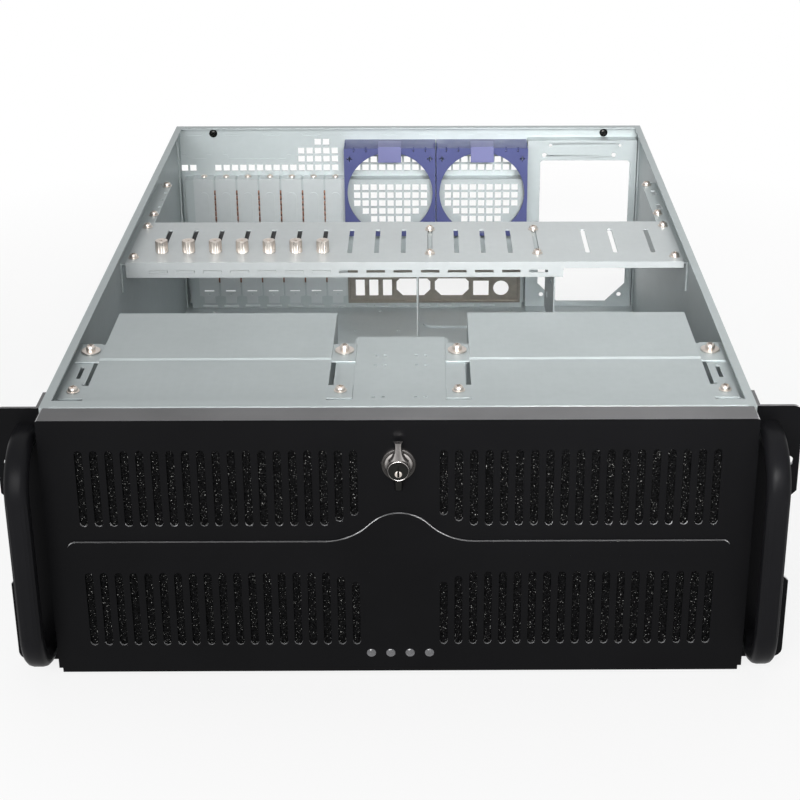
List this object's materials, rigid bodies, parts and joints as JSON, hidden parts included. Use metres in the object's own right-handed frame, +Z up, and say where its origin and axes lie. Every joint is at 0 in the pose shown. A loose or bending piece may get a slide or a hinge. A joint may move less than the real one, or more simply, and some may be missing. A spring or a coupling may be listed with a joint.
{
  "type": "rackmount server case",
  "caption": "Open steel rackmount case with a lockable black drop-down door, bow handles, drive cages, a card hold-down bar and blue fan brackets, without its lid.",
  "frame": {"origin": "centre of the underside of the tub", "axes": "+X to the right as seen from the door, +Y to the back, +Z up"},
  "size_m": [0.4826, 0.644, 0.1765],
  "materials": {
    "galvanised_steel": "satin zinc-coated sheet with a faint blue-grey tone",
    "bright_galvanised_steel": "satin zinc-coated sheet, a little brighter",
    "black_paint": "satin fine-textured black powder coat",
    "black_handle": "smooth satin black",
    "black_plastic": "fine-grained moulded plastic",
    "blue_plastic": "moulded plastic, slight sheen",
    "lavender_plastic": "moulded plastic, slight sheen",
    "filter_foam": "open-cell grey-black filter foam",
    "nickel_screw": "warm bright nickel plate",
    "dark_screw": "black zinc plate",
    "dark_chrome": "dark smoky chrome",
    "copper_strip": "dull beryllium copper",
    "nickel_shield": "bright thin nickel sheet",
    "clear_lens": "clear moulded lens over an unlit lamp",
    "circuit_board": "green solder mask"
  },
  "bodies": {
    "root": {"base_tub": "galvanised_steel", "front_panel": "galvanised_steel", "front_deck": "galvanised_steel", "drive_cage_left": "galvanised_steel", "drive_cage_right": "galvanised_steel", "card_bar": "bright_galvanised_steel", "side_ledge_left": "galvanised_steel", "side_ledge_right": "galvanised_steel", "drive_bracket_left": "galvanised_steel", "drive_bracket_right": "galvanised_steel", "rear_panel": "galvanised_steel", "power_supply_plate": "galvanised_steel", "lock_keeper": "galvanised_steel", "hinge_ear_left": "galvanised_steel", "hinge_ear_right": "galvanised_steel", "shielding_strips": "copper_strip", "port_shield": "nickel_shield", "slot_screws": "nickel_screw", "cage_clamp_screws": "nickel_screw", "cage_front_screws": "nickel_screw", "card_thumbscrews": "nickel_screw", "bar_screws": "nickel_screw", "hinge_pins": "nickel_screw", "rear_screws": "dark_screw", "handle_screws": "dark_screw", "fan_bracket_left": "blue_plastic", "fan_bracket_right": "blue_plastic", "fan_clips": "lavender_plastic", "control_board": "circuit_board", "ear_left": "black_paint", "ear_right": "black_paint", "handle_left": "black_handle", "handle_right": "black_handle", "slot_cover_1": "bright_galvanised_steel", "slot_cover_2": "bright_galvanised_steel", "slot_cover_3": "bright_galvanised_steel", "slot_cover_4": "bright_galvanised_steel", "slot_cover_5": "bright_galvanised_steel", "slot_cover_6": "bright_galvanised_steel", "slot_cover_7": "bright_galvanised_steel", "bay_cover_1": "black_plastic", "bay_cover_2": "black_plastic", "bay_cover_3": "black_plastic", "bay_cover_4": "black_plastic", "bay_cover_5": "black_plastic", "bay_cover_6": "black_plastic"},
    "door": {"front_door": "black_paint", "filter_foam_left": "filter_foam", "filter_foam_right": "filter_foam", "filter_frame_left": "black_plastic", "filter_frame_right": "black_plastic", "indicator_lenses": "clear_lens", "lock_housing": "dark_chrome", "lock_nut": "dark_chrome"},
    "lock": {"lock_lever": "dark_chrome", "lock_cam": "nickel_screw"},
    "power": {"power_button": "black_plastic"},
    "reset": {"reset_button": "black_plastic"}
  },
  "joints": [
    {"name": "door_hinge", "type": "hinge", "parent": "root", "child": "door", "pos_m": [0, -0.3112, 0.0085], "axis": [1, 0, 0], "range_deg": [0, 85]},
    {"name": "lock_turn", "type": "hinge", "parent": "door", "child": "lock", "pos_m": [0, -0.3175, 0.1476], "axis": [0, -1, 0], "range_deg": [0, 90]},
    {"name": "power_push", "type": "slide", "parent": "root", "child": "power", "axis": [0, 1, 0], "range_m": [0, 0.0025], "stiffness_N_per_m": 300, "springref_m": -0.002},
    {"name": "reset_push", "type": "slide", "parent": "root", "child": "reset", "axis": [0, 1, 0], "range_m": [0, 0.0015], "stiffness_N_per_m": 300, "springref_m": -0.002}
  ]
}
